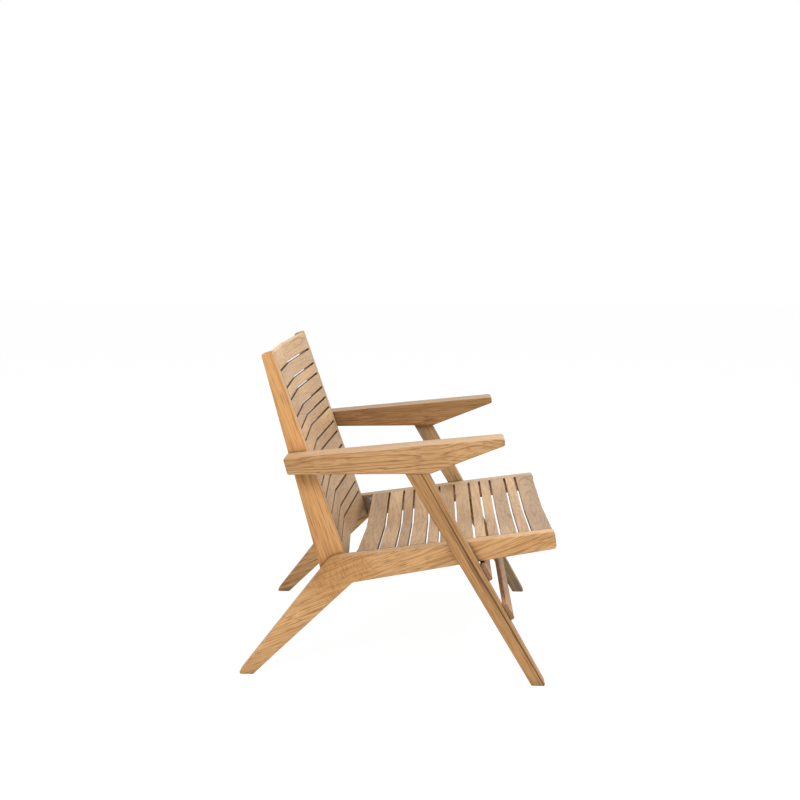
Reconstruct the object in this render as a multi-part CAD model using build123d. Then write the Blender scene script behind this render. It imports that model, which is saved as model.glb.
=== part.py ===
from build123d import *
import os
from math import cos, hypot, radians, sin, tan

# Slatted garden armchair in solid wood. Millimetres, X across the chair, front at -Y, Z up,
# origin on the floor under the middle of the chair's depth and width.
# Side-view places are a reach, forward from the heel of the rear foot, and a height.

# Width over the front legs, and the stock thickness of each side piece across the chair
overall_width = 660.0
leg_thickness = 32.0
rail_thickness = 29.0
post_thickness = 24.0

# Side rail: one sawn plank that is the seat rail and the rear leg
rear_foot_length = 37.4
elbow_reach = 227.5
elbow_height = 296.7
elbow_radius = 45.0
under_elbow_reach = 282.4
under_elbow_height = 237.3
under_elbow_radius = 14.0
rail_slope = 7.95
rail_top_length = 537.0
rail_nose_depth = 42.0
nose_radius = 8.0

# Front leg, tapered towards the floor
leg_foot_reach = 710.5
leg_foot_length = 35.0
leg_top_reach = 409.0
leg_top_length = 52.5
foot_corner_radius = 4.5

# Back post, tapered towards the top
back_rake = 18.7
post_front_from_elbow = 31.7
post_rise = 515.0
post_tail = 56.0
post_top_depth = 26.5
post_foot_depth = 70.0
post_corner_radius = 6.0

# Armrest
arm_under_height = 507.2
arm_under_rise = 6.3
arm_rear_depth = 39.0
arm_top_rise = 52.3
arm_bend_reach = 467.0
arm_tip_reach = 635.5
arm_tip_thickness = 17.0
arm_corner_radius = 5.0
arm_rear_overhang = 3.0

# Small rounding along the long edges of the planks
plank_edge_radius = 2.0

# Slats, wide and narrow strips in the order that they lie
wide_slat_width = 37.6
narrow_slat_width = 25.3
end_slat_width = 48.6
slat_edge_radius = 1.6
slat_crease_radius = 40.0
slat_tenon_thickness = 6.0
slat_tenon_shoulder = 5.0
tenon_clearance = 0.2
seat_slat_order = "EWNWNWWNNWNE"
seat_slat_thickness = 12.0
seat_dish = 19.0
seat_start_from_elbow = 64.0
seat_inset_from_nose = 2.9
seat_tenon_length = 14.0
front_slat_nose_radius = 5.0
back_slat_order = "EWNWNNWNWNWWNE"
back_slat_thickness = 12.0
back_bow = 19.0
back_start_from_top = 2.2
back_slats_length = 543.6
back_tenon_length = 11.0
top_slat_nose_radius = 5.0

# Two boards across the front faces of the front legs
stretcher_width = 40.0
stretcher_thickness = 11.5
stretcher_end_inset = 12.0
stretcher_edge_radius = 3.0
upper_stretcher_rail_gap = 3.0
lower_stretcher_height = 158.0

# Rear cross rail under the rear seat slat
cross_rail_thickness = 32.0
cross_rail_drop = 58.0
slat_bearing_clearance = 0.3

# Steel angle brackets behind the rear seat slat
bracket_flange = 20.0
bracket_height = 23.5
bracket_drop = 3.0
bracket_gauge = 2.0
rail_screw_drop = 9.5
cross_screw_drop = 17.0
bracket_screw_edge = 7.0

# Screws, bolts, threaded inserts and dowels
screw_diameter = 4.0
screw_length = 16.0
screw_head_diameter = 7.6
screw_head_height = 2.4
screw_slot_width = 1.2
screw_slot_length = 4.6
bolt_diameter = 6.0
bolt_head_diameter = 11.0
bolt_head_height = 3.6
bolt_socket_across_flats = 4.0
bolt_socket_depth = 2.2
insert_diameter = 10.0
insert_length = 14.0
insert_wall_gap = 0.6
fastener_clearance = 0.3
leg_bolt_spacing = 22.0
post_bolt_spacing = 28.0
arm_bolt_spacing = 24.0
bolt_edge_distance = 15.0
dowel_diameter = 8.0
dowel_clearance = 0.15
dowel_end_gap = 1.0
arm_dowel_spacing = 22.0
arm_dowel_depth = 20.0
stretcher_dowel_depth = 7.0
leg_dowel_depth = 16.0
cross_dowel_depth = 14.0
stretcher_dowel_spacing = 20.0
cross_dowel_spacing = 14.0
cross_dowel_edge_distance = 8.0

# Planes across the chair, from the middle outwards
leg_outer = overall_width / 2
leg_inner = leg_outer - leg_thickness
rail_outer = leg_inner
rail_inner = rail_outer - rail_thickness
post_outer = rail_inner
post_inner = post_outer - post_thickness
arm_inner = post_outer
leg_middle = (leg_outer + leg_inner) / 2
dowel_hole_diameter = dowel_diameter + 2 * dowel_clearance


# Line helpers for the side view: points are (reach, height) pairs
def along(start, direction, distance):
    return (start[0] + direction[0] * distance, start[1] + direction[1] * distance)


def heading(start, end):
    run = hypot(end[0] - start[0], end[1] - start[1])
    return ((end[0] - start[0]) / run, (end[1] - start[1]) / run)


def height_on(start, end, reach):
    return start[1] + (end[1] - start[1]) * (reach - start[0]) / (end[0] - start[0])


def reach_on(start, end, height):
    return start[0] + (end[0] - start[0]) * (height - start[1]) / (end[1] - start[1])


def rounded_outline(points, radii):
    outline = make_face(Polyline(*points, close=True))
    for point, radius in zip(points, radii):
        if radius > 0:
            vertex = outline.vertices().sort_by_distance(Vector(*point))[0]
            outline = fillet(vertex, radius)
    return outline


# Side rail outline
rail_forward = (cos(radians(rail_slope)), sin(radians(rail_slope)))
rail_down = (rail_forward[1], -rail_forward[0])
heel = (0.0, 0.0)
toe = (rear_foot_length, 0.0)
elbow = (elbow_reach, elbow_height)
under_elbow = (under_elbow_reach, under_elbow_height)
nose_top = along(elbow, rail_forward, rail_top_length)
nose_bottom = along(nose_top, rail_down, rail_nose_depth)
rail_outline = rounded_outline(
    [heel, toe, under_elbow, nose_bottom, nose_top, elbow],
    [foot_corner_radius, foot_corner_radius, under_elbow_radius, nose_radius, nose_radius, elbow_radius],
)
rail_box = rail_outline.bounding_box()
heel_y = (rail_box.min.X + rail_box.max.X) / 2

# Back post outline, with square-cut ends
post_up = (-sin(radians(back_rake)), cos(radians(back_rake)))
post_rearward = (-post_up[1], post_up[0])
post_crossing = along(elbow, rail_forward, post_front_from_elbow)
post_front_top = along(post_crossing, post_up, post_rise)
post_front_foot = along(post_crossing, post_up, -post_tail)
post_rear_top = along(post_front_top, post_rearward, post_top_depth)
post_rear_foot = along(post_front_foot, post_rearward, post_foot_depth)
post_outline = rounded_outline(
    [post_front_foot, post_front_top, post_rear_top, post_rear_foot],
    [0, plank_edge_radius, post_corner_radius, plank_edge_radius],
)

# Armrest outline: its rear end follows the back of the post and stands a little behind it
arm_top_height = arm_under_height + arm_rear_depth
arm_rear_under = (reach_on(post_rear_foot, post_rear_top, arm_under_height) - arm_rear_overhang,
                  arm_under_height)
arm_rear_top = (reach_on(post_rear_foot, post_rear_top, arm_top_height) - arm_rear_overhang,
                arm_top_height)
arm_bend = (arm_bend_reach, arm_under_height + arm_under_rise)
arm_tip_top = (arm_tip_reach, arm_top_height + arm_top_rise)
arm_top_heading = heading(arm_rear_top, arm_tip_top)
arm_tip_under = along(arm_tip_top, (arm_top_heading[1], -arm_top_heading[0]), arm_tip_thickness)
arm_outline = rounded_outline(
    [arm_rear_under, arm_bend, arm_tip_under, arm_tip_top, arm_rear_top],
    [arm_corner_radius, 0, arm_corner_radius, arm_corner_radius, arm_corner_radius],
)

# Front leg outline: its top is cut to the underside of the armrest
leg_front_top_reach = leg_top_reach + leg_top_length
leg_rear_foot = (leg_foot_reach, 0.0)
leg_front_foot = (leg_foot_reach + leg_foot_length, 0.0)
leg_rear_top = (leg_top_reach, height_on(arm_rear_under, arm_bend, leg_top_reach))
leg_front_top = (leg_front_top_reach, height_on(arm_rear_under, arm_bend, leg_front_top_reach))
leg_outline = rounded_outline(
    [leg_rear_foot, leg_front_foot, leg_front_top, leg_rear_top],
    [foot_corner_radius, foot_corner_radius, 0, 0],
)


# Placing helpers: a side plane faces the sitter's right, a lateral line crosses the whole chair
def side_plane(across):
    return Plane(origin=(-across, heel_y, 0), x_dir=(0, -1, 0), z_dir=(-1, 0, 0))


def side_vector(point, across=0.0):
    return Vector(-across, heel_y - point[0], point[1])


def side_direction(direction):
    return Vector(0, -direction[0], direction[1])


def plank(outline, inner, thickness):
    return extrude(side_plane(inner) * outline, thickness)


def soften(solid, radius):
    sides = solid.faces().sort_by(Axis.X)
    return fillet(sides[0].edges() + sides[-1].edges(), radius)


def rod(start, direction, diameter, length):
    return extrude(Plane(origin=start, z_dir=direction) * Circle(diameter / 2), length)


# Point on the rail's top line, and the lateral plane that stands on it, normal to the line
def seat_point(from_elbow, drop=0.0):
    return along(along(elbow, rail_forward, from_elbow), rail_down, drop)


def seat_plane(from_elbow):
    origin = side_vector(seat_point(from_elbow))
    return Plane(origin=origin, x_dir=(1, 0, 0), z_dir=side_direction(rail_forward))


def back_plane(from_top):
    point = along(post_front_top, post_up, -from_top)
    return Plane(origin=side_vector(point), x_dir=(1, 0, 0), z_dir=-side_direction(post_up))


# Line across the chair: two straight halves that fall to a rounded crease in the middle
def creased_line(half_length, sag, drop):
    points = [(-half_length, -drop), (0, -sag - drop), (half_length, -drop)]
    return FilletPolyline(*points, radius=slat_crease_radius + drop)


# One slat: two straight halves bent to the sag in the middle, with square ends.
# Local X runs along the slat, Y out of its face and Z across its width.
def slat_blank(half_length, sag, thickness, width):
    top = creased_line(half_length, sag, 0.0)
    underside = creased_line(half_length, sag, thickness)
    right_end = Line(top @ 0, underside @ 0)
    left_end = Line(top @ 1, underside @ 1)
    return extrude(make_face([top, left_end, underside, right_end]), width)


def slat_tenons(half_length, thickness, width, length, clearance):
    tenon_width = width - 2 * slat_tenon_shoulder + 2 * clearance
    tenon_thickness = slat_tenon_thickness + 2 * clearance
    tenon_length = length + clearance
    tenons = []
    for side in (-1, 1):
        middle = (side * (half_length + tenon_length / 2), -thickness / 2, width / 2)
        tenons.append(Pos(*middle) * Box(tenon_length, tenon_thickness, tenon_width))
    return tenons


# Edges along a slat, in groups across its width
def slat_long_edges(blank):
    return blank.edges().filter_by(Axis.Y, reverse=True).filter_by(Axis.Z, reverse=True).group_by(Axis.Z)


def slat(half_length, sag, thickness, width, tenon_length, start_radius, end_radius):
    blank = slat_blank(half_length, sag, thickness, width)
    blank = fillet(slat_long_edges(blank)[0], start_radius)
    blank = fillet(slat_long_edges(blank)[-1], end_radius)
    for tenon in slat_tenons(half_length, thickness, width, tenon_length, 0.0):
        blank += tenon
    return blank


# Widths from the order string, and where each slat starts when the gaps are even
slat_widths = {"W": wide_slat_width, "N": narrow_slat_width, "E": end_slat_width}


def slat_starts(order, start, run):
    widths = [slat_widths[letter] for letter in order]
    gap = (run - sum(widths)) / (len(widths) - 1)
    starts = []
    place = start
    for width in widths:
        starts.append(place)
        place += width + gap
    return list(zip(starts, widths))


seat_run = rail_top_length - seat_inset_from_nose - seat_start_from_elbow
seat_places = slat_starts(seat_slat_order, seat_start_from_elbow, seat_run)
back_places = slat_starts(back_slat_order, back_start_from_top, back_slats_length)

# Solid pieces of one side, the sitter's right
side_rail = soften(plank(rail_outline, rail_inner, rail_thickness), plank_edge_radius)
back_post = soften(plank(post_outline, post_inner, post_thickness), plank_edge_radius)
front_leg = plank(leg_outline, leg_inner, leg_thickness)
leg_sides = front_leg.faces().sort_by(Axis.X)
leg_side_edges = leg_sides[0].edges() + leg_sides[-1].edges()
leg_top_height = min(leg_rear_top[1], leg_front_top[1])
leg_long_edges = [edge for edge in leg_side_edges if edge.center().Z < leg_top_height - plank_edge_radius]
front_leg = fillet(leg_long_edges, plank_edge_radius)
armrest = soften(plank(arm_outline, arm_inner, leg_outer - arm_inner), plank_edge_radius)

# Seat slats with their mortises in the rails
seat_slats = []
for start, width in seat_places:
    is_front = start == seat_places[-1][0]
    nose = front_slat_nose_radius if is_front else slat_edge_radius
    piece = slat(rail_inner, seat_dish, seat_slat_thickness, width, seat_tenon_length, slat_edge_radius, nose)
    seat_slats.append(seat_plane(start) * piece)
    mortise = slat_tenons(rail_inner, seat_slat_thickness, width, seat_tenon_length, tenon_clearance)[0]
    side_rail -= seat_plane(start) * mortise

# Back slats with their mortises in the posts
back_slats = []
for start, width in back_places:
    is_top = start == back_places[0][0]
    nose = top_slat_nose_radius if is_top else slat_edge_radius
    piece = slat(post_inner, back_bow, back_slat_thickness, width, back_tenon_length, nose, slat_edge_radius)
    back_slats.append(back_plane(start) * piece)
    mortise = slat_tenons(post_inner, back_slat_thickness, width, back_tenon_length, tenon_clearance)[0]
    back_post -= back_plane(start) * mortise

# Front stretchers: boards planted on the front faces of both legs
leg_up = heading(leg_front_foot, leg_front_top)
leg_front_normal = (leg_up[1], -leg_up[0])
stretcher_length = overall_width - 2 * stretcher_end_inset
stretcher_dowel_across = (leg_inner + leg_outer - stretcher_end_inset) / 2


def stretcher_foot_below_rail():
    slope = (nose_bottom[1] - under_elbow[1]) / (nose_bottom[0] - under_elbow[0])
    front = along(leg_front_foot, leg_front_normal, stretcher_thickness)
    rise = height_on(under_elbow, nose_bottom, front[0]) - front[1] - upper_stretcher_rail_gap
    top = rise / (leg_up[1] - slope * leg_up[0])
    return along(leg_front_foot, leg_up, top - stretcher_width)


def stretcher(foot):
    corners = [
        foot,
        along(foot, leg_front_normal, stretcher_thickness),
        along(along(foot, leg_up, stretcher_width), leg_front_normal, stretcher_thickness),
        along(foot, leg_up, stretcher_width),
    ]
    radii = [0, stretcher_edge_radius, stretcher_edge_radius, 0]
    return extrude(side_plane(-stretcher_length / 2) * rounded_outline(corners, radii), stretcher_length)


lower_foot = (reach_on(leg_front_foot, leg_front_top, lower_stretcher_height), lower_stretcher_height)
upper_foot = stretcher_foot_below_rail()
stretchers = {}
stretcher_dowels = []
for name, foot in (("upper_front_stretcher", upper_foot), ("lower_front_stretcher", lower_foot)):
    board = stretcher(foot)
    middle = along(foot, leg_up, stretcher_width / 2)
    for side in (-1, 1):
        for offset in (-0.5, 0.5):
            face_point = along(middle, leg_up, offset * stretcher_dowel_spacing)
            seat = along(face_point, leg_front_normal, -leg_dowel_depth)
            start = side_vector(seat, side * stretcher_dowel_across)
            direction = side_direction(leg_front_normal)
            hole_length = leg_dowel_depth + stretcher_dowel_depth
            hole = rod(start, direction, dowel_hole_diameter, hole_length)
            board -= hole
            front_leg -= hole
            pin_start = start + direction * dowel_end_gap / 2
            stretcher_dowels.append(rod(pin_start, direction, dowel_diameter, hole_length - dowel_end_gap))
    stretchers[name] = board

# Armrest dowels run along the leg's own axis
leg_axis_foot = ((leg_rear_foot[0] + leg_front_foot[0]) / 2, 0.0)
leg_axis_top = ((leg_rear_top[0] + leg_front_top[0]) / 2, (leg_rear_top[1] + leg_front_top[1]) / 2)
leg_axis = heading(leg_axis_foot, leg_axis_top)
arm_under_heading = heading(arm_rear_under, arm_bend)
arm_dowels = []
for offset in (-0.5, 0.5):
    joint = along(leg_axis_top, arm_under_heading, offset * arm_dowel_spacing)
    start = side_vector(along(joint, leg_axis, -arm_dowel_depth), leg_middle)
    direction = side_direction(leg_axis)
    hole = rod(start, direction, dowel_hole_diameter, 2 * arm_dowel_depth)
    front_leg -= hole
    armrest -= hole
    pin_start = start + direction * dowel_end_gap / 2
    arm_dowels.append(rod(pin_start, direction, dowel_diameter, 2 * arm_dowel_depth - dowel_end_gap))

# Rear cross rail: its top edge follows the underside of the slats, its back face is flush with theirs
cross_top_drop = seat_slat_thickness + slat_bearing_clearance
cross_low_right = (-rail_inner, -cross_rail_drop)
cross_low_left = (rail_inner, -cross_rail_drop)
cross_top = creased_line(rail_inner, seat_dish, cross_top_drop)
cross_sides = Polyline(cross_top @ 1, cross_low_left, cross_low_right, cross_top @ 0)
cross_face = seat_plane(seat_start_from_elbow) * make_face([cross_top, cross_sides])
cross_rail = extrude(cross_face, cross_rail_thickness)
cross_dowel_reach = seat_start_from_elbow + cross_rail_thickness / 2
cross_dowel_drop = cross_rail_drop - cross_dowel_edge_distance
cross_dowels = []
for drop in (cross_dowel_drop - cross_dowel_spacing, cross_dowel_drop):
    place = seat_point(cross_dowel_reach, drop)
    for side in (-1, 1):
        start = side_vector(place, side * (rail_inner - cross_dowel_depth))
        hole = rod(start, (-side, 0, 0), dowel_hole_diameter, 2 * cross_dowel_depth)
        cross_rail -= hole
        if side > 0:
            side_rail -= hole
        pin_start = start + Vector(-side * dowel_end_gap / 2, 0, 0)
        pin_length = 2 * cross_dowel_depth - dowel_end_gap
        cross_dowels.append(rod(pin_start, (-side, 0, 0), dowel_diameter, pin_length))


# Wood screw with a pan head and crossed slots; the head seats at the start point
def screw(seat, direction):
    head = rod(seat, -direction, screw_head_diameter, screw_head_height)
    rims = head.edges().filter_by(GeomType.CIRCLE)
    head = fillet(rims.sort_by_distance(seat - direction * screw_head_height)[0], screw_head_height / 2)
    shank = rod(seat, direction, screw_diameter, screw_length)
    slot_plane = Plane(origin=seat - direction * screw_head_height, z_dir=direction)
    slots = Rectangle(screw_slot_width, screw_slot_length) + Rectangle(screw_slot_length, screw_slot_width)
    return head + shank - extrude(slot_plane * slots, screw_head_height / 2)


def screw_hole(seat, direction):
    return rod(seat, direction, screw_diameter + fastener_clearance, screw_length + fastener_clearance)


# Right corner bracket: one flange on the rail, one behind the rear slat and the cross rail
flange_align = (Align.MIN, Align.MAX, Align.MAX)
flange_on_rail = Box(bracket_gauge, bracket_height, bracket_flange, align=flange_align)
flange_on_cross = Box(bracket_flange, bracket_height, bracket_gauge, align=flange_align)
bracket_place = seat_plane(seat_start_from_elbow) * Pos(-rail_inner, -bracket_drop, 0)
bracket = bracket_place * (flange_on_rail + flange_on_cross)
into_rail = Vector(-1, 0, 0)
rail_screw_place = seat_point(seat_start_from_elbow - bracket_screw_edge, bracket_drop + rail_screw_drop)
rail_screw_seat = side_vector(rail_screw_place, rail_inner - bracket_gauge)
into_cross = side_direction(rail_forward)
cross_screw_place = seat_point(seat_start_from_elbow - bracket_gauge, bracket_drop + cross_screw_drop)
cross_screw_seat = side_vector(cross_screw_place, rail_inner - bracket_flange + bracket_screw_edge)
bracket -= screw_hole(rail_screw_seat, into_rail)
bracket -= screw_hole(cross_screw_seat, into_cross)
side_rail -= screw_hole(rail_screw_seat, into_rail)
cross_rail -= screw_hole(cross_screw_seat, into_cross)
cross_rail -= mirror(screw_hole(cross_screw_seat, into_cross), about=Plane.YZ)
bracket_screws = [screw(rail_screw_seat, into_rail), screw(cross_screw_seat, into_cross)]


# Bolts run outwards from an inner face, through the inner piece, into a threaded insert in the outer one
def bolt(place, inner, grip):
    start = side_vector(place, inner)
    outward = Vector(-1, 0, 0)
    head = rod(start, -outward, bolt_head_diameter, bolt_head_height)
    shank = rod(start, outward, bolt_diameter, grip + insert_length - fastener_clearance)
    socket_plane = Plane(origin=start - outward * bolt_head_height, z_dir=outward)
    socket_profile = RegularPolygon(bolt_socket_across_flats / 2, 6, major_radius=False)
    return head + shank - extrude(socket_plane * socket_profile, bolt_socket_depth)


def threaded_insert(place, inner, grip):
    start = side_vector(place, inner + grip)
    outward = Vector(-1, 0, 0)
    sleeve = rod(start, outward, insert_diameter, insert_length)
    return sleeve - rod(start, outward, bolt_diameter + fastener_clearance, insert_length)


def bolt_hole(place, inner, grip):
    return rod(side_vector(place, inner), (-1, 0, 0), bolt_diameter + 2 * fastener_clearance, grip)


def insert_hole(place, inner, grip):
    length = insert_length + insert_wall_gap
    return rod(side_vector(place, inner + grip), (-1, 0, 0), insert_diameter + fastener_clearance, length)


# Leg bolts sit low in the crossing of leg and rail, clear of the slat ends
crossing_low = seat_point(0.0, seat_slat_thickness + bolt_edge_distance)
crossing_next = along(crossing_low, rail_forward, rail_top_length)
leg_slant = (leg_axis_top[0] - leg_axis_foot[0]) / (leg_axis_top[1] - leg_axis_foot[1])
rise_per_reach = tan(radians(rail_slope))
axis_reach = leg_axis_foot[0] + leg_slant * (crossing_low[1] - rise_per_reach * crossing_low[0])
crossing_reach = axis_reach / (1 - leg_slant * rise_per_reach)
leg_crossing = (crossing_reach, height_on(crossing_low, crossing_next, crossing_reach))
leg_bolt_places = [along(leg_crossing, rail_forward, k * leg_bolt_spacing) for k in (-0.5, 0.5)]

# Post bolts into the rail, and armrest bolts, lie behind the back slats
post_foot_middle = along(post_rear_foot, heading(post_rear_foot, post_rear_top), bolt_edge_distance)
post_bolt_first = along(post_foot_middle, post_rearward, -bolt_edge_distance)
post_bolt_places = [along(post_bolt_first, post_rearward, -k * post_bolt_spacing) for k in (0, 1)]
arm_middle_height = arm_under_height + arm_rear_depth / 2
arm_middle_reach = reach_on(post_rear_foot, post_rear_top, arm_middle_height)
arm_bolt_middle = (arm_middle_reach + bolt_edge_distance, arm_middle_height)
post_rear_up = heading(post_rear_foot, post_rear_top)
arm_bolt_places = [along(arm_bolt_middle, post_rear_up, k * arm_bolt_spacing) for k in (-0.5, 0.5)]

leg_bolts = []
post_bolts = []
arm_bolts = []
inserts = []
for place in leg_bolt_places:
    side_rail -= bolt_hole(place, rail_inner, rail_thickness)
    front_leg -= insert_hole(place, rail_inner, rail_thickness)
    leg_bolts.append(bolt(place, rail_inner, rail_thickness))
    inserts.append(threaded_insert(place, rail_inner, rail_thickness))
for place in post_bolt_places:
    back_post -= bolt_hole(place, post_inner, post_thickness)
    side_rail -= insert_hole(place, post_inner, post_thickness)
    post_bolts.append(bolt(place, post_inner, post_thickness))
    inserts.append(threaded_insert(place, post_inner, post_thickness))
for place in arm_bolt_places:
    back_post -= bolt_hole(place, post_inner, post_thickness)
    armrest -= insert_hole(place, post_inner, post_thickness)
    arm_bolts.append(bolt(place, post_inner, post_thickness))
    inserts.append(threaded_insert(place, post_inner, post_thickness))


# The left side mirrors the right
def mirrored(shape):
    return mirror(shape, about=Plane.YZ)


def both_sides(shapes):
    return Compound(children=shapes + [mirrored(shape) for shape in shapes])


nodes = {}
for name, solid in (("side_rail", side_rail), ("front_leg", front_leg), ("armrest", armrest),
                    ("back_post", back_post), ("corner_bracket", bracket)):
    nodes[name + "_right"] = solid
    nodes[name + "_left"] = mirrored(solid)
for number, solid in enumerate(seat_slats, start=1):
    nodes[f"seat_slat_{number:02d}"] = solid
for number, solid in enumerate(back_slats, start=1):
    nodes[f"back_slat_{number:02d}"] = solid
nodes.update(stretchers)
nodes["rear_cross_rail"] = cross_rail
nodes["bracket_screws"] = both_sides(bracket_screws)
nodes["leg_bolts"] = both_sides(leg_bolts)
nodes["post_bolts"] = both_sides(post_bolts)
nodes["arm_bolts"] = both_sides(arm_bolts)
nodes["threaded_inserts"] = both_sides(inserts)
nodes["arm_dowels"] = both_sides(arm_dowels)
nodes["stretcher_dowels"] = Compound(children=stretcher_dowels)
nodes["cross_rail_dowels"] = Compound(children=cross_dowels)

os.makedirs("parts", exist_ok=True)
for name, shape in nodes.items():
    export_step(shape, f"parts/{name}.step")
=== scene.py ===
import math
import random
import bpy
import numpy as np
from mathutils import Matrix, Vector


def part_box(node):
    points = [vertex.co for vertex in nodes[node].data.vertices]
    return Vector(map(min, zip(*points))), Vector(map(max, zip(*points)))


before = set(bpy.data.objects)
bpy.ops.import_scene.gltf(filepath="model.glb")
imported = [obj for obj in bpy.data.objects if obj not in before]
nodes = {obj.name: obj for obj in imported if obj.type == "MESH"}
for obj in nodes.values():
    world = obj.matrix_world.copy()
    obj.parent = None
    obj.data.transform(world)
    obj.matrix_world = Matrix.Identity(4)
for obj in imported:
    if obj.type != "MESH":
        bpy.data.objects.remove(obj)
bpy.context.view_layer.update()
print("frame loaded:", len(nodes), "pieces")


# shader tree helpers: a value is either a plain number, colour or vector, or another node's socket
def feed(tree, socket, value):
    if isinstance(value, bpy.types.NodeSocket):
        tree.links.new(value, socket)
    else:
        socket.default_value = value


def calc(tree, operation, *values):
    node = tree.nodes.new("ShaderNodeMath")
    node.operation = operation
    for socket, value in zip(node.inputs, values):
        feed(tree, socket, value)
    return node.outputs[0]


def vectorCalc(tree, operation, *values):
    node = tree.nodes.new("ShaderNodeVectorMath")
    node.operation = operation
    for socket, value in zip(node.inputs, values):
        feed(tree, socket, value)
    return node.outputs["Value" if operation in ("LENGTH", "DOT_PRODUCT") else "Vector"]


def scaled(tree, vector, factor):
    result = vectorCalc(tree, "SCALE", vector)
    feed(tree, result.node.inputs["Scale"], factor)
    return result


mixSockets = {"first": 6, "second": 7, "result": 2}  # by number, because a mix node's names repeat


def blendColour(tree, factor, first, second):
    node = tree.nodes.new("ShaderNodeMix")
    node.data_type = "RGBA"
    feed(tree, node.inputs["Factor"], factor)
    feed(tree, node.inputs[mixSockets["first"]], first)
    feed(tree, node.inputs[mixSockets["second"]], second)
    return node.outputs[mixSockets["result"]]


def blendShare(tree, mask, share, colour, tone):
    return blendColour(tree, calc(tree, "MULTIPLY", mask, share), colour, tone)


def remap(tree, value, low, high, toLow=0.0, toHigh=1.0, smooth=False):
    node = tree.nodes.new("ShaderNodeMapRange")
    node.interpolation_type = "SMOOTHSTEP" if smooth else "LINEAR"
    for socket, given in zip(node.inputs, (value, low, high, toLow, toHigh)):
        feed(tree, socket, given)
    return node.outputs[0]


def noiseOf(tree, vector, perMetre, detail=2.0, roughness=0.5):
    node = tree.nodes.new("ShaderNodeTexNoise")
    node.inputs["Scale"].default_value = 1.0
    node.inputs["Detail"].default_value = detail
    node.inputs["Roughness"].default_value = roughness
    feed(tree, node.inputs["Vector"], vectorCalc(tree, "MULTIPLY", vector, perMetre))
    return node.outputs["Fac"]


noiseMiddle = 0.5


def swing(tree, noise):
    return calc(tree, "SUBTRACT", noise, noiseMiddle)


def curveOf(tree, value, stops):
    node = tree.nodes.new("ShaderNodeValToRGB")
    ramp = node.color_ramp
    while len(ramp.elements) < len(stops):
        ramp.elements.new(0.5)
    for element, (place, level) in zip(ramp.elements, stops):
        element.position = place
        element.color = (level, level, level, 1.0)
    feed(tree, node.inputs["Fac"], value)
    return node.outputs["Color"]


def newGroup(name, inputs, outputs):
    group = bpy.data.node_groups.new(name, "ShaderNodeTree")
    for label, kind, value in inputs:
        socket = group.interface.new_socket(name=label, in_out="INPUT", socket_type="NodeSocket" + kind)
        socket.default_value = value
    for label, kind in outputs:
        group.interface.new_socket(name=label, in_out="OUTPUT", socket_type="NodeSocket" + kind)
    return group, group.nodes.new("NodeGroupInput").outputs, group.nodes.new("NodeGroupOutput").inputs


def placeGroup(tree, group, **values):
    node = tree.nodes.new("ShaderNodeGroup")
    node.node_tree = group
    for label, value in values.items():
        feed(tree, node.inputs[label], value)
    return node.outputs


def newMaterial(name):
    material = bpy.data.materials.new(name)
    material.use_nodes = True
    return material, material.node_tree, material.node_tree.nodes["Principled BSDF"]


def dress(name, material):
    for slot in nodes[name].material_slots:
        slot.material = material


def opaque(tone, value=1.0):
    return tuple(part * value for part in tone) + (1.0,)


# noises of the timber, in features per metre along the grain and in the two directions across it
timberNoise = {
    "sway": {"perMetre": (4.0, 9.0, 9.0), "detail": 1.5},
    "quiver": {"perMetre": (11.0, 60.0, 60.0)},
    "lively": {"perMetre": (3.0, 40.0, 40.0), "detail": 1.0},
    "strand": {"perMetre": (2.5, 90.0, 90.0), "roughness": 0.6},
    "line": {"perMetre": (2.0, 260.0, 260.0), "detail": 1.0},
    "fibre": {"perMetre": (20.0, 400.0, 400.0), "roughness": 0.6},
    "pore": {"perMetre": (17.0, 420.0, 420.0), "detail": 1.0},
    "streak": {"perMetre": (0.7, 170.0, 170.0), "detail": 1.0, "roughness": 0.4},
    "ash": {"perMetre": (4.5, 40.0, 40.0)},
    "broad": {"perMetre": (3.0, 12.0, 12.0), "detail": 1.0},
}
# where each noise starts and is full, and what each adds to the darkness, the dullness and the relief
timberLook = {
    "seedShift": (1.7, 3.1, 5.3), "quiver": 0.004, "swayBend": (0.0, 1.0, 0.7),
    "ringCurve": ((0.0, 0.0), (0.60, 0.06), (0.80, 0.40), (0.89, 1.0), (0.96, 0.9), (1.0, 0.0)),
    "livelyFrom": (0.3, 0.7), "livelyTo": (0.35, 1.0),
    "strand": (0.34, 0.66), "line": (0.50, 0.60), "pore": (0.56, 0.68), "streak": (0.66, 0.71),
    "ash": (0.44, 0.70), "dark": (-0.27, 0.70),
    "lineShare": 0.85, "strandShare": 0.30, "fibreShare": 2.0, "fineMiddle": 0.45, "broadShare": 1.4,
    "poreShare": 1.05, "endShare": 0.45, "fibreDulls": 0.25, "poreDulls": 0.08,
    "ringHeight": 0.35, "poreHeight": -0.8,
}


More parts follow.
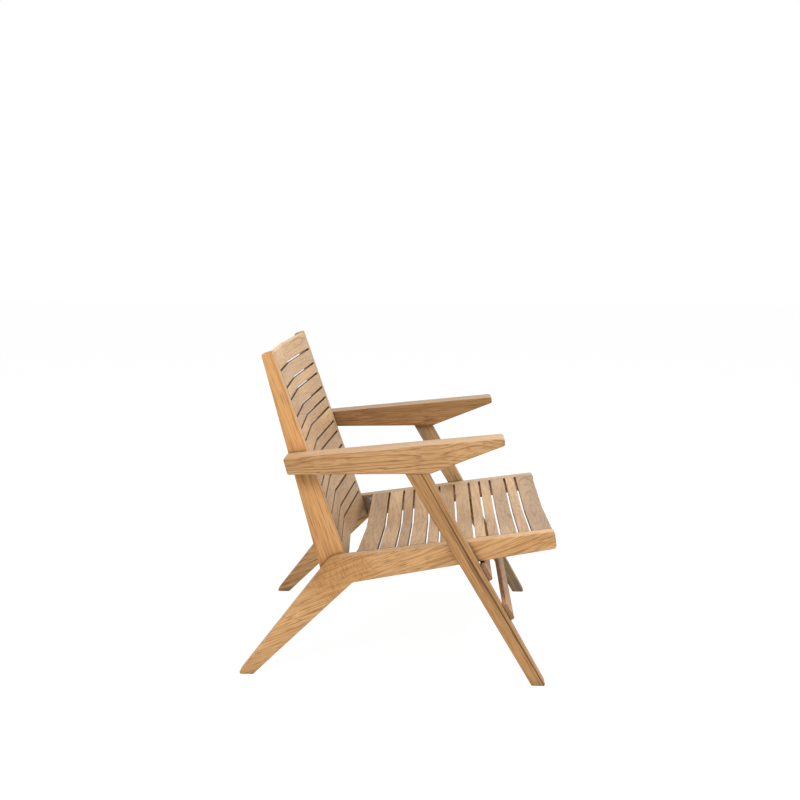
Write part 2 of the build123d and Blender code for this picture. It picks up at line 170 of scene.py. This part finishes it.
# solid timber in grain space, metres, X along the grain, pith on the X axis: ring number is the wavering
# distance from the pith over the ring gap, and each ring stays pale, then ends in a thin dark line
def makeTimberGroup():
    group, given, out = newGroup(
        "solidTimber",
        [("Place", "Vector", (0, 0, 0)), ("Seed", "Float", 0.0), ("RingGap", "Float", 0.008),
         ("Sway", "Float", 0.03), ("Figure", "Float", 0.5), ("Fine", "Float", 0.5), ("Streaks", "Float", 0.3),
         ("Mottle", "Float", 0.4), ("Dullness", "Float", 0.56),
         ("Pale", "Color", (0.6, 0.4, 0.2, 1)), ("Deep", "Color", (0.4, 0.2, 0.1, 1)),
         ("Ash", "Color", (0.4, 0.3, 0.2, 1)), ("Streak", "Color", (0.15, 0.08, 0.04, 1)),
         ("EndGrain", "Float", 0.0)],
        [("Colour", "Color"), ("Roughness", "Float"), ("Height", "Float")])
    look = timberLook
    place = given["Place"]
    seeded = vectorCalc(group, "ADD", place, scaled(group, look["seedShift"], given["Seed"]))

    # wavering ring radius; the lines below follow the same bend
    fromPith = vectorCalc(group, "LENGTH", vectorCalc(group, "MULTIPLY", place, (0.0, 1.0, 1.0)))
    sway = swing(group, noiseOf(group, seeded, **timberNoise["sway"]))
    sway = calc(group, "MULTIPLY", sway, given["Sway"])
    quiver = swing(group, noiseOf(group, seeded, **timberNoise["quiver"]))
    radius = calc(group, "ADD", sway, fromPith)
    radius = calc(group, "MULTIPLY_ADD", quiver, look["quiver"], radius)
    bent = vectorCalc(group, "ADD", seeded, scaled(group, look["swayBend"], sway))
    noises = {key: noiseOf(group, bent, **timberNoise[key])
              for key in ("lively", "strand", "line", "fibre", "pore", "streak", "ash", "broad")}

    # rings, stronger in some years and some places
    phase = calc(group, "DIVIDE", radius, given["RingGap"])
    ring = curveOf(group, calc(group, "FRACT", phase), look["ringCurve"])
    yearly = group.nodes.new("ShaderNodeTexWhiteNoise")
    yearly.noise_dimensions = "1D"
    feed(group, yearly.inputs["W"], calc(group, "ADD", calc(group, "FLOOR", phase), given["Seed"]))
    lively = remap(group, noises["lively"], *look["livelyFrom"], *look["livelyTo"])
    yearly = remap(group, yearly.outputs["Value"], 0.0, 1.0, *look["livelyTo"])
    ring = calc(group, "MULTIPLY", ring, calc(group, "MULTIPLY", lively, yearly))

    # broad strands, thin dark lines, hair-fine fibres, pores, long dark streaks, soft patches
    strand = remap(group, noises["strand"], *look["strand"])
    line = remap(group, noises["line"], *look["line"])
    pore = remap(group, noises["pore"], *look["pore"])
    streak = remap(group, noises["streak"], *look["streak"], smooth=True)
    ashen = remap(group, noises["ash"], *look["ash"], smooth=True)
    fibre = swing(group, noises["fibre"])

    fine = calc(group, "MULTIPLY", strand, look["strandShare"])
    fine = calc(group, "MULTIPLY_ADD", line, look["lineShare"], fine)
    fine = calc(group, "MULTIPLY_ADD", fibre, look["fibreShare"], fine)
    fine = calc(group, "SUBTRACT", fine, look["fineMiddle"])
    dark = calc(group, "MULTIPLY", ring, given["Figure"])
    dark = calc(group, "MULTIPLY_ADD", fine, given["Fine"], dark)
    dark = calc(group, "MULTIPLY_ADD", swing(group, noises["broad"]), look["broadShare"], dark)
    dark = remap(group, dark, *look["dark"])
    pitted = calc(group, "MULTIPLY", pore, look["poreShare"])
    colour = blendColour(group, dark, given["Pale"], given["Deep"])
    colour = blendShare(group, ashen, given["Mottle"], colour, given["Ash"])
    colour = blendShare(group, streak, given["Streaks"], colour, given["Streak"])
    colour = blendShare(group, pitted, given["Fine"], colour, given["Streak"])
    colour = blendShare(group, given["EndGrain"], look["endShare"], colour, given["Streak"])
    feed(group, out["Colour"], colour)

    rough = calc(group, "MULTIPLY_ADD", fibre, look["fibreDulls"], given["Dullness"])
    feed(group, out["Roughness"], calc(group, "MULTIPLY_ADD", pore, look["poreDulls"], rough))
    height = calc(group, "MULTIPLY_ADD", ring, look["ringHeight"], noises["fibre"])
    feed(group, out["Height"], calc(group, "MULTIPLY_ADD", pore, look["poreHeight"], height))
    return group


# how square the surface stands to the grain: 1 on sawn ends, 0 along the sides
endTurn = (0.75, 0.95)


def makeEndGrainGroup():
    group, given, out = newGroup("sawnEnd", [("Grain", "Vector", (1, 0, 0))], [("Mask", "Float")])
    geometry = group.nodes.new("ShaderNodeNewGeometry")
    along = vectorCalc(group, "DOT_PRODUCT", geometry.outputs["True Normal"], given["Grain"])
    feed(group, out["Mask"], remap(group, calc(group, "ABSOLUTE", along), *endTurn))
    return group


# eased edges: where a normal rounded over a small radius leaves the surface's own, broken up by the fibres
edgeLook = {"samples": 6, "turn": (0.995, 0.86), "noise": {"perMetre": (30.0, 120.0, 120.0)},
            "brokenFrom": (0.3, 0.65), "brokenTo": (0.35, 1.0)}


def makeEdgeGroup():
    group, given, out = newGroup(
        "easedEdge", [("Radius", "Float", 0.003), ("Place", "Vector", (0, 0, 0))], [("Mask", "Float")])
    bevel = group.nodes.new("ShaderNodeBevel")
    bevel.samples = edgeLook["samples"]
    feed(group, bevel.inputs["Radius"], given["Radius"])
    geometry = group.nodes.new("ShaderNodeNewGeometry")
    facing = vectorCalc(group, "DOT_PRODUCT", bevel.outputs["Normal"], geometry.outputs["True Normal"])
    worn = remap(group, facing, *edgeLook["turn"])
    broken = noiseOf(group, given["Place"], **edgeLook["noise"])
    broken = remap(group, broken, *edgeLook["brokenFrom"], *edgeLook["brokenTo"])
    feed(group, out["Mask"], calc(group, "MULTIPLY", worn, broken))
    return group


# painted shade in joints, gaps and corners: darker where most of the near surroundings are closed off, as
# occlusion shade would fall there
occlusionShadeLook = {"samples": 8, "openness": (0.70, 0.28)}


def makeOcclusionShadeGroup():
    group, given, out = newGroup("paintedOcclusionShade", [("Reach", "Float", 0.008)], [("Mask", "Float")])
    closeness = group.nodes.new("ShaderNodeAmbientOcclusion")
    closeness.samples = occlusionShadeLook["samples"]
    feed(group, closeness.inputs["Distance"], given["Reach"])
    feed(group, out["Mask"], remap(group, closeness.outputs["AO"], *occlusionShadeLook["openness"]))
    return group


# painted highlight: faces turned up and to the front, towards the overhead lamp, are blended toward a paler,
# greyer tone like a sheen
topHighlightTurn = (0.50, 0.75)


def makeTopHighlightGroup():
    group, given, out = newGroup("paintedTopHighlight", [("Towards", "Vector", (0, 0, 1))], [("Mask", "Float")])
    geometry = group.nodes.new("ShaderNodeNewGeometry")
    turned = vectorCalc(group, "DOT_PRODUCT", geometry.outputs["True Normal"], given["Towards"])
    feed(group, out["Mask"], remap(group, turned, *topHighlightTurn))
    return group


# warmer wood round a bend: fades out from a middle point, with a fine ripple across the grain
bendLook = {"edgeNoise": {"perMetre": (9.0, 30.0, 30.0)}, "uneven": 0.8, "fade": (1.0, 0.35),
            "rippleNoise": {"perMetre": (360.0, 55.0, 55.0), "detail": 1.0}, "ripple": (0.46, 0.62)}


def makeBendGroup():
    group, given, out = newGroup(
        "bendFigure",
        [("Spot", "Vector", (0, 0, 0)), ("Middle", "Vector", (0, 0, 0)), ("Reach", "Float", 0.1),
         ("Place", "Vector", (0, 0, 0))],
        [("Mask", "Float"), ("Ripple", "Float")])
    away = vectorCalc(group, "LENGTH", vectorCalc(group, "SUBTRACT", given["Spot"], given["Middle"]))
    away = calc(group, "DIVIDE", away, given["Reach"])
    uneven = swing(group, noiseOf(group, given["Place"], **bendLook["edgeNoise"]))
    away = calc(group, "MULTIPLY_ADD", uneven, bendLook["uneven"], away)
    mask = remap(group, away, *bendLook["fade"], smooth=True)
    ripple = noiseOf(group, given["Place"], **bendLook["rippleNoise"])
    ripple = remap(group, ripple, *bendLook["ripple"])
    feed(group, out["Mask"], mask)
    feed(group, out["Ripple"], calc(group, "MULTIPLY", ripple, mask))
    return group


timberGroup = makeTimberGroup()
sawnEndGroup = makeEndGrainGroup()
edgeGroup = makeEdgeGroup()
occlusionShadeGroup = makeOcclusionShadeGroup()
topHighlightGroup = makeTopHighlightGroup()
bendGroup = makeBendGroup()
print("shader groups built")

# tones are linear colours, from paler to deeper wood of the same board
tones = {
    "golden": {"pale": (0.68, 0.390, 0.168), "deep": (0.36, 0.168, 0.054), "ash": (0.46, 0.272, 0.118)},
    "amber": {"pale": (0.74, 0.390, 0.145), "deep": (0.41, 0.180, 0.052), "ash": (0.52, 0.280, 0.110)},
    "umber": {"pale": (0.54, 0.284, 0.102), "deep": (0.27, 0.120, 0.035), "ash": (0.37, 0.206, 0.084)},
    "olive": {"pale": (0.52, 0.330, 0.150), "deep": (0.25, 0.146, 0.058), "ash": (0.31, 0.230, 0.145)},
    "sand": {"pale": (0.60, 0.388, 0.204), "deep": (0.27, 0.148, 0.065), "ash": (0.38, 0.246, 0.138)},
    "rose": {"pale": (0.67, 0.374, 0.174), "deep": (0.31, 0.142, 0.056), "ash": (0.43, 0.249, 0.131)},
    "beech": {"pale": (0.70, 0.500, 0.300), "deep": (0.55, 0.360, 0.200), "ash": (0.55, 0.380, 0.220)},
}
streakTone = (0.115, 0.055, 0.021, 1.0)
# painted shade: thin dark lines in gaps and joints, and a broad darkening into corners and under parts
gapShade = {"reach": 0.010, "tone": (0.020, 0.010, 0.005, 1.0), "share": 0.9}
cornerShade = {"reach": 0.070, "tone": (0.060, 0.036, 0.017, 1.0), "share": 0.65}
arris = {"radius": 0.0030, "share": 0.85}
# painted highlight: the pale tone that is blended onto faces turned towards this direction
topHighlight = {"towards": (0.0, -0.55, 0.835), "tone": (0.44, 0.335, 0.222, 1.0)}
surface = {"relief": 0.35, "reliefDepth": 0.0006, "gloss": 0.4}

# a board with nothing else said about it: pith is its distance from the board's middle, tilt is in radians
plainTimber = {
    "pith": (0.06, 0.0), "tilt": 0.02, "ringGap": 0.008, "sway": 0.03, "figure": 0.6, "fine": 0.8,
    "streaks": 0.3, "mottle": 0.3, "value": 1.0, "seed": 0.0, "highlightShare": 0.0, "dullness": 0.56, "bend": None,
}
crossTilt = 0.6  # share of the tilt that leans the grain the other way


def unit(vector):
    return Vector(vector).normalized()


# grain space for one piece: rows are the grain, the face direction and their cross, centred on the piece and
# moved by the pith's distance from its middle
def grainPlacing(name, grain, face, pith, tilt):
    low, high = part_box(name)
    along = unit(grain)
    outward = unit(face)
    sideways = along.cross(outward).normalized()
    lean = Matrix.Rotation(tilt, 3, "Z") @ Matrix.Rotation(tilt * crossTilt, 3, "Y")
    turn = lean @ Matrix((along, outward, sideways))
    offset = Vector((0.0, pith[0], pith[1])) - turn @ ((low + high) / 2)
    return turn.to_euler("XYZ"), offset


# painted highlight on faces turned up and to the front, darkened eased edges, and painted shade in gaps and
# corners, on the bare wood's colour
def paintedLightAndEdges(tree, colour, place, highlightShare):
    if highlightShare > 0.0:
        highlighted = placeGroup(tree, topHighlightGroup, Towards=topHighlight["towards"])
        colour = blendShare(tree, highlighted["Mask"], highlightShare, colour, topHighlight["tone"])
    edge = placeGroup(tree, edgeGroup, Radius=arris["radius"], Place=place)
    colour = blendShare(tree, edge["Mask"], arris["share"], colour, streakTone)
    for shading in (cornerShade, gapShade):
        occluded = placeGroup(tree, occlusionShadeGroup, Reach=shading["reach"])
        colour = blendShare(tree, occluded["Mask"], shading["share"], colour, shading["tone"])
    return colour


def timberMaterial(name, grain, face, tone, **choice):
    wood = {**plainTimber, **choice}
    material, tree, shader = newMaterial("timber_" + name)
    spot = tree.nodes.new("ShaderNodeTexCoord").outputs["Object"]
    mapping = tree.nodes.new("ShaderNodeMapping")
    turn, offset = grainPlacing(name, grain, face, wood["pith"], wood["tilt"])
    mapping.inputs["Rotation"].default_value = turn
    mapping.inputs["Location"].default_value = offset
    tree.links.new(spot, mapping.inputs["Vector"])
    place = mapping.outputs["Vector"]

    shades = {key: opaque(shade, wood["value"]) for key, shade in tones[tone].items()}
    ends = placeGroup(tree, sawnEndGroup, Grain=unit(grain))
    timber = placeGroup(
        tree, timberGroup, Place=place, Seed=wood["seed"], RingGap=wood["ringGap"], Sway=wood["sway"],
        Figure=wood["figure"], Fine=wood["fine"], Streaks=wood["streaks"], Mottle=wood["mottle"],
        Pale=shades["pale"], Deep=shades["deep"], Ash=shades["ash"], Streak=streakTone,
        EndGrain=ends["Mask"], Dullness=wood["dullness"])
    colour = timber["Colour"]
    bend = wood["bend"]
    if bend:
        warm = placeGroup(tree, bendGroup, Spot=spot, Middle=bend["middle"], Reach=bend["reach"], Place=place)
        colour = blendShare(tree, warm["Mask"], bend["share"], colour, bend["tone"])
        colour = blendShare(tree, warm["Ripple"], bend["ripple"], colour, streakTone)
    tree.links.new(paintedLightAndEdges(tree, colour, place, wood["highlightShare"]), shader.inputs["Base Color"])
    tree.links.new(timber["Roughness"], shader.inputs["Roughness"])
    shader.inputs["Specular IOR Level"].default_value = surface["gloss"]
    bump = tree.nodes.new("ShaderNodeBump")
    bump.inputs["Strength"].default_value = surface["relief"]
    bump.inputs["Distance"].default_value = surface["reliefDepth"]
    tree.links.new(timber["Height"], bump.inputs["Height"])
    tree.links.new(bump.outputs["Normal"], shader.inputs["Normal"])
    dress(name, material)


# slopes in the side view, in degrees, as the CAD has them; the bent plank's grain lies between its two limbs
slopes = {"rail": 7.95, "back": 18.7, "plank": 22.0, "leg": 29.7, "arm": 4.5}


def forwardOf(piece):
    slope = math.radians(slopes[piece])
    return 0.0, -math.cos(slope), math.sin(slope)


def upOf(piece):
    slope = math.radians(slopes[piece])
    return 0.0, math.sin(slope), math.cos(slope)


across = (1.0, 0.0, 0.0)

railBend = {"middle": (-0.29, 0.135, 0.258), "reach": 0.112, "tone": (0.54, 0.235, 0.048, 1.0), "share": 0.40,
            "ripple": 0.25}
# the far, left-hand pieces take darker, greyer tones and lower values than their right-hand twins: painted
# shade for the far side
frameWood = {
    "side_rail_right": dict(
        grain=forwardOf("plank"), tone="golden", pith=(0.10, 0.05), tilt=0.006, ringGap=0.012, sway=0.030,
        figure=0.25, fine=0.46, streaks=0.15, mottle=0.2, value=1.24, highlightShare=0.4, seed=5.7, bend=railBend),
    "side_rail_left": dict(
        grain=forwardOf("plank"), tone="golden", pith=(-0.08, -0.06), tilt=-0.008, ringGap=0.010, sway=0.03,
        figure=0.30, fine=0.6, streaks=0.3, mottle=0.3, value=1.12, highlightShare=0.75, seed=8.1),
    "front_leg_right": dict(
        grain=upOf("leg"), tone="umber", pith=(0.12, 0.10), tilt=0.003, ringGap=0.010, sway=0.006,
        figure=0.20, fine=0.44, streaks=0.9, mottle=0.2, value=1.10, highlightShare=0.4, seed=7.1),
    "front_leg_left": dict(
        grain=upOf("leg"), tone="olive", pith=(-0.10, 0.06), tilt=-0.006, ringGap=0.010, sway=0.008,
        figure=0.3, fine=0.65, streaks=0.5, mottle=0.7, highlightShare=0.4, seed=12.9),
    "armrest_right": dict(
        grain=forwardOf("arm"), tone="golden", pith=(0.036, 0.004), tilt=0.008, ringGap=0.0080, sway=0.055,
        figure=1.3, fine=0.36, streaks=0.1, mottle=0.15, value=1.03, highlightShare=0.4, seed=18.6),
    "armrest_left": dict(
        grain=forwardOf("arm"), tone="umber", pith=(-0.036, -0.006), tilt=-0.008, ringGap=0.007, sway=0.03,
        figure=0.6, fine=0.45, streaks=0.3, mottle=0.3, value=0.76, highlightShare=0.4, seed=6.2),
    "back_post_right": dict(
        grain=upOf("back"), tone="amber", pith=(0.05, 0.09), tilt=0.005, ringGap=0.010, sway=0.010,
        figure=0.25, fine=0.40, streaks=0.12, mottle=0.15, value=1.12, highlightShare=0.4, seed=33.2),
    "back_post_left": dict(
        grain=upOf("back"), tone="sand", pith=(-0.06, 0.08), tilt=-0.006, ringGap=0.010, sway=0.012,
        figure=0.3, fine=0.55, streaks=0.3, mottle=0.25, highlightShare=0.4, seed=9.5),
}
for name, choice in frameWood.items():
    timberMaterial(name, face=across, **choice)
print("frame timber done")

# slats: every strip is another board, so pith, figure and value are drawn anew for each; shades run from the
# first slat of a row to its last, as painted shade that darkens the back row from its top slat down towards
# the seat
slatWood = {
    "seed": 41, "pithDepth": (0.02, 0.05), "pithAside": (0.015, 0.06), "tilt": (-0.015, 0.015),
    "ringGap": (0.007, 0.011), "figure": (0.30, 0.60), "fine": (0.14, 0.28), "streaks": (0.05, 0.3),
    "mottle": (0.05, 0.35), "value": (0.88, 1.12), "boardSeed": (0.0, 50.0), "sway": 0.014, "dullness": 0.50,
}
slatRows = {
    "seat": {"facing": upOf("rail"), "shades": (0.93, 0.92)},
    "back": {"facing": forwardOf("back"), "shades": (1.12, 0.93)},
}
# boards with a plain arched figure; the top back slat's raised value is painted light at the top of the back
archedBoards = {
    "seat_slat_12": dict(pith=(0.020, 0.002), tilt=0.035, ringGap=0.006, figure=0.8, sway=0.02, value=0.78),
    "back_slat_01": dict(pith=(0.022, 0.004), tilt=-0.045, ringGap=0.006, figure=0.8, sway=0.02, value=1.24),
}
draw = random.Random(slatWood["seed"])


def between(key):
    return draw.uniform(*slatWood[key])


def drawBoard(shade):
    return dict(
        pith=(between("pithDepth"), draw.choice((-1, 1)) * between("pithAside")), tilt=between("tilt"),
        ringGap=between("ringGap"), figure=between("figure"), fine=between("fine"),
        streaks=between("streaks"), mottle=between("mottle"), value=shade * between("value"),
        seed=between("boardSeed"), sway=slatWood["sway"], dullness=slatWood["dullness"])


for row in sorted(slatRows):
    slats = sorted(name for name in nodes if name.startswith(row + "_slat"))
    first, last = slatRows[row]["shades"]
    for count, name in enumerate(slats):
        choice = drawBoard(first + (last - first) * count / (len(slats) - 1))
        choice.update(archedBoards.get(name, {}))
        timberMaterial(name, grain=across, face=slatRows[row]["facing"], tone="sand", **choice)
print("slat timber done")

crossWood = {
    "upper_front_stretcher": dict(
        face=forwardOf("leg"), tone="rose", pith=(0.030, 0.0), ringGap=0.006, sway=0.01,
        fine=0.4, seed=21.0),
    "lower_front_stretcher": dict(
        face=forwardOf("leg"), tone="rose", pith=(0.034, 0.004), ringGap=0.006, sway=0.01,
        fine=0.4, seed=23.0),
    # painted shade: the rear cross rail is darkened for the shade under the seat's rear and the back
    "rear_cross_rail": dict(face=forwardOf("rail"), tone="umber", pith=(0.05, 0.0), value=0.7, seed=25.0),
    "arm_dowels": dict(face=forwardOf("back"), tone="beech", figure=0.3, seed=27.0),
    "stretcher_dowels": dict(face=forwardOf("back"), tone="beech", figure=0.3, seed=28.0),
    "cross_rail_dowels": dict(face=forwardOf("back"), tone="beech", figure=0.3, seed=29.0),
}
for name, choice in crossWood.items():
    timberMaterial(name, grain=across, **choice)
print("cross pieces done")

# zinc-plated steel: dull grey with fine speckle, brown stains and brighter rubbed edges
zinc = {
    "dull": (0.36, 0.34, 0.30), "bright": (0.60, 0.57, 0.51), "stain": (0.30, 0.26, 0.21),
    "rubbed": (0.72, 0.69, 0.63), "edgeRadius": 0.0008, "metallic": 0.85,
    "speckleNoise": {"perMetre": (900.0, 900.0, 900.0), "detail": 3.0, "roughness": 0.65},
    "cloudNoise": {"perMetre": (120.0, 120.0, 120.0)},
    "speckle": (0.35, 0.65), "cloud": (0.45, 0.75), "stainShare": 0.5,
    "sheen": (0.3, 0.7), "smoother": 0.1, "rougher": 0.12,
}
# brackets darkened as painted shade where they sit behind the back; fasteners brightened as a painted
# highlight
zincPieces = {
    "brackets": {"names": ("corner_bracket_left", "corner_bracket_right"), "roughness": 0.52, "shade": 0.55},
    "fasteners": {"names": ("bracket_screws", "leg_bolts", "post_bolts", "arm_bolts", "threaded_inserts"),
                  "roughness": 0.36, "shade": 1.15},
}


def zincMaterial(name, roughness, shade):
    material, tree, shader = newMaterial("zinc_" + name)
    place = tree.nodes.new("ShaderNodeTexCoord").outputs["Object"]
    speckle = noiseOf(tree, place, **zinc["speckleNoise"])
    cloud = noiseOf(tree, place, **zinc["cloudNoise"])
    edge = placeGroup(tree, edgeGroup, Radius=zinc["edgeRadius"], Place=place)
    dull, bright, stain, rubbed = (opaque(zinc[key], shade) for key in ("dull", "bright", "stain", "rubbed"))
    colour = blendColour(tree, remap(tree, speckle, *zinc["speckle"]), dull, bright)
    colour = blendColour(tree, remap(tree, cloud, *zinc["cloud"], 0.0, zinc["stainShare"]), colour, stain)
    colour = blendColour(tree, edge["Mask"], colour, rubbed)
    sheen = remap(tree, speckle, *zinc["sheen"], roughness - zinc["smoother"], roughness + zinc["rougher"])
    tree.links.new(colour, shader.inputs["Base Color"])
    tree.links.new(sheen, shader.inputs["Roughness"])
    shader.inputs["Metallic"].default_value = zinc["metallic"]
    dress(name, material)


for kind in zincPieces.values():
    for name in kind["names"]:
        zincMaterial(name, kind["roughness"], kind["shade"])
print("steel done")

# stage: pale floor that the camera sees as white with a soft shadow, white surround
stage = {"floorHalf": 14.0, "floorDrop": 0.0004, "floorShade": 0.62, "seenShade": 0.10, "glow": 0.95,
         "surround": 0.42, "seenSurround": 1.0}


def seenDirectly(tree):
    rays = tree.nodes.new("ShaderNodeLightPath").outputs
    seen = calc(tree, "MAXIMUM", rays["Is Camera Ray"], rays["Is Glossy Ray"])
    return calc(tree, "MAXIMUM", seen, rays["Is Transmission Ray"])


# floor: a flat square grid of two by two points, a hair below the feet
def makeFloor():
    side = np.array([-1.0, 1.0]) * stage["floorHalf"]
    x, y = np.meshgrid(side, side)
    points = np.stack([x.ravel(), y.ravel(), np.full(x.size, -stage["floorDrop"])], axis=1)
    mesh = bpy.data.meshes.new("floor")
    mesh.from_pydata(points.tolist(), [], [(0, 1, 3, 2)])
    floor = bpy.data.objects.new("floor", mesh)
    bpy.context.scene.collection.objects.link(floor)
    material, tree, shader = newMaterial("floorPaint")
    tree.nodes.remove(shader)
    seen = seenDirectly(tree)
    paint = tree.nodes.new("ShaderNodeBsdfDiffuse")
    feed(tree, paint.inputs["Color"], remap(tree, seen, 0.0, 1.0, stage["floorShade"], stage["seenShade"]))
    glow = tree.nodes.new("ShaderNodeEmission")
    feed(tree, glow.inputs["Strength"], calc(tree, "MULTIPLY", seen, stage["glow"]))
    both = tree.nodes.new("ShaderNodeAddShader")
    tree.links.new(paint.outputs[0], both.inputs[0])
    tree.links.new(glow.outputs[0], both.inputs[1])
    tree.links.new(both.outputs[0], tree.nodes["Material Output"].inputs["Surface"])
    mesh.materials.append(material)


def makeSurround():
    world = bpy.data.worlds.new("surround")
    world.use_nodes = True
    bpy.context.scene.world = world
    tree = world.node_tree
    background = tree.nodes["Background"]
    background.inputs["Color"].default_value = (1.0, 1.0, 1.0, 1.0)
    strength = remap(tree, seenDirectly(tree), 0.0, 1.0, stage["surround"], stage["seenSurround"])
    feed(tree, background.inputs["Strength"], strength)


makeFloor()
makeSurround()

# lamps: a broad overhead panel, one past the far arm, a soft one beside the camera, a weak one in front
lampAim = (0.0, 0.0, 0.4)
lamps = {
    "overhead": {"at": (-0.3, -1.0, 3.0), "size": 2.4, "power": 54.0},
    "far": {"at": (2.4, -0.7, 2.2), "size": 0.9, "power": 12.0},
    "beside": {"at": (-2.6, 1.0, 2.2), "size": 1.2, "power": 37.0},
    "front": {"at": (-1.6, -3.0, 1.8), "size": 1.8, "power": 18.0},
}
for label, lamp in lamps.items():
    light = bpy.data.lights.new(label, "AREA")
    light.shape = "DISK"
    light.size = lamp["size"]
    light.energy = lamp["power"]
    holder = bpy.data.objects.new(label, light)
    holder.location = lamp["at"]
    holder.rotation_euler = (Vector(lampAim) - Vector(lamp["at"])).to_track_quat("-Z", "Y").to_euler()
    bpy.context.scene.collection.objects.link(holder)

# camera: eye, heading and lens solved from straight edges of both sides; heading turns from +X towards +Y
shot = {"eye": (-2.4965, -0.10376, 1.04007), "heading": 0.0423, "down": 0.1621, "roll": 0.0019,
        "lens": 43.4826, "sensor": 36.0, "farthest": 100.0}


def makeCamera():
    turn, down, roll = shot["heading"], shot["down"], shot["roll"]
    flat = Vector((math.cos(turn), math.sin(turn), 0.0))
    right = Vector((math.sin(turn), -math.cos(turn), 0.0))
    up = Vector((0.0, 0.0, 1.0))
    forward = flat * math.cos(down) - up * math.sin(down)
    raised = up * math.cos(down) + flat * math.sin(down)
    level = right * math.cos(roll) + raised * math.sin(roll)
    raised = raised * math.cos(roll) - right * math.sin(roll)
    data = bpy.data.cameras.new("camera")
    data.sensor_width = shot["sensor"]
    data.lens = shot["lens"]
    data.clip_end = shot["farthest"]
    camera = bpy.data.objects.new("camera", data)
    spin = Matrix((level, raised, -forward)).transposed()
    camera.matrix_world = Matrix.Translation(shot["eye"]) @ spin.to_4x4()
    bpy.context.scene.collection.objects.link(camera)
    bpy.context.scene.camera = camera


makeCamera()
bpy.context.scene.view_settings.view_transform = "Standard"
print("stage, lamps and camera done")
